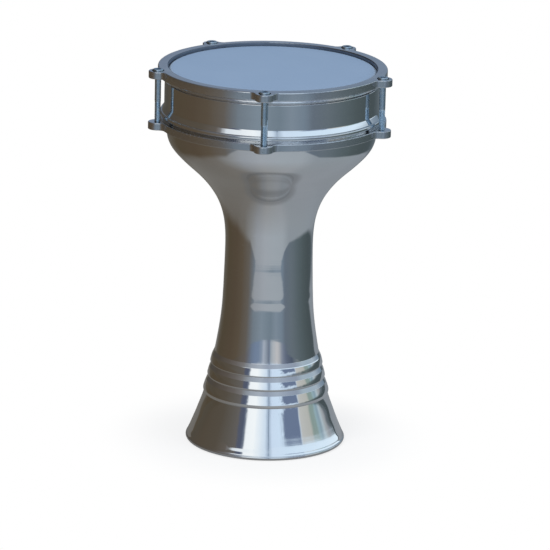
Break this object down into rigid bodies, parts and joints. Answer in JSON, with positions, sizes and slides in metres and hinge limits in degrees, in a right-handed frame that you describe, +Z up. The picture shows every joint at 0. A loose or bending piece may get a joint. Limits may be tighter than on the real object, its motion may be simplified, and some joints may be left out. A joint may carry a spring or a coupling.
{
  "type": "darbuka goblet drum",
  "caption": "Goblet-shaped metal hand drum with a flared ribbed foot, narrow neck, wide bowl and a clear-white film head pulled down by a bolted hoop.",
  "frame": {"origin": "the drum's axis, in the plane of the foot rim that it stands on", "axes": "+Z up along the drum's axis, from the foot to the playing head; -Y is the front, where one tension screw stands slightly left of centre"},
  "size_m": [0.2307, 0.2304, 0.3722],
  "materials": {
    "spun_aluminium": "mirror-polished spun aluminium, with fine turning lines and handling scratches",
    "cast_aluminium": "cast aluminium, linished and lightly polished, with fine pores",
    "channel_aluminium": "rolled aluminium channel, satin",
    "zinc_steel": "bright bluish zinc plate",
    "film": "smooth clear-white polyester film, slightly milky",
    "resin": "cast potting resin"
  },
  "bodies": {
    "drum": {"shell": "spun_aluminium", "lower_ring": "cast_aluminium", "drumhead_film": "film", "drumhead_channel": "channel_aluminium", "drumhead_resin": "resin"},
    "hoop": {"top_hoop": "cast_aluminium"},
    "screw_1": {"tension_screw_1": "zinc_steel"},
    "screw_2": {"tension_screw_2": "zinc_steel"},
    "screw_3": {"tension_screw_3": "zinc_steel"},
    "screw_4": {"tension_screw_4": "zinc_steel"},
    "screw_5": {"tension_screw_5": "zinc_steel"}
  },
  "joints": [
    {"name": "hoop_lift", "type": "slide", "parent": "drum", "child": "hoop", "axis": [0, 0, 1], "range_m": [0, 0.004]},
    {"name": "screw_1_turn", "type": "hinge", "parent": "hoop", "child": "screw_1", "pos_m": [-0.00695, -0.11178, 0.366], "axis": [0, 0, 1], "range_deg": [0, 1440.5]},
    {"name": "screw_2_turn", "type": "hinge", "parent": "hoop", "child": "screw_2", "pos_m": [0.10416, -0.04116, 0.366], "axis": [0, 0, 1], "range_deg": [0, 1440.5]},
    {"name": "screw_3_turn", "type": "hinge", "parent": "hoop", "child": "screw_3", "pos_m": [0.07133, 0.08635, 0.366], "axis": [0, 0, 1], "range_deg": [0, 1440.5]},
    {"name": "screw_4_turn", "type": "hinge", "parent": "hoop", "child": "screw_4", "pos_m": [-0.06008, 0.09452, 0.366], "axis": [0, 0, 1], "range_deg": [0, 1440.5]},
    {"name": "screw_5_turn", "type": "hinge", "parent": "hoop", "child": "screw_5", "pos_m": [-0.10846, -0.02793, 0.366], "axis": [0, 0, 1], "range_deg": [0, 1440.5]}
  ],
  "couplings": [
    {"joint": "screw_1_turn", "follows": "hoop_lift", "rad_per_m": 6283.2},
    {"joint": "screw_2_turn", "follows": "hoop_lift", "rad_per_m": 6283.2},
    {"joint": "screw_3_turn", "follows": "hoop_lift", "rad_per_m": 6283.2},
    {"joint": "screw_4_turn", "follows": "hoop_lift", "rad_per_m": 6283.2},
    {"joint": "screw_5_turn", "follows": "hoop_lift", "rad_per_m": 6283.2}
  ]
}
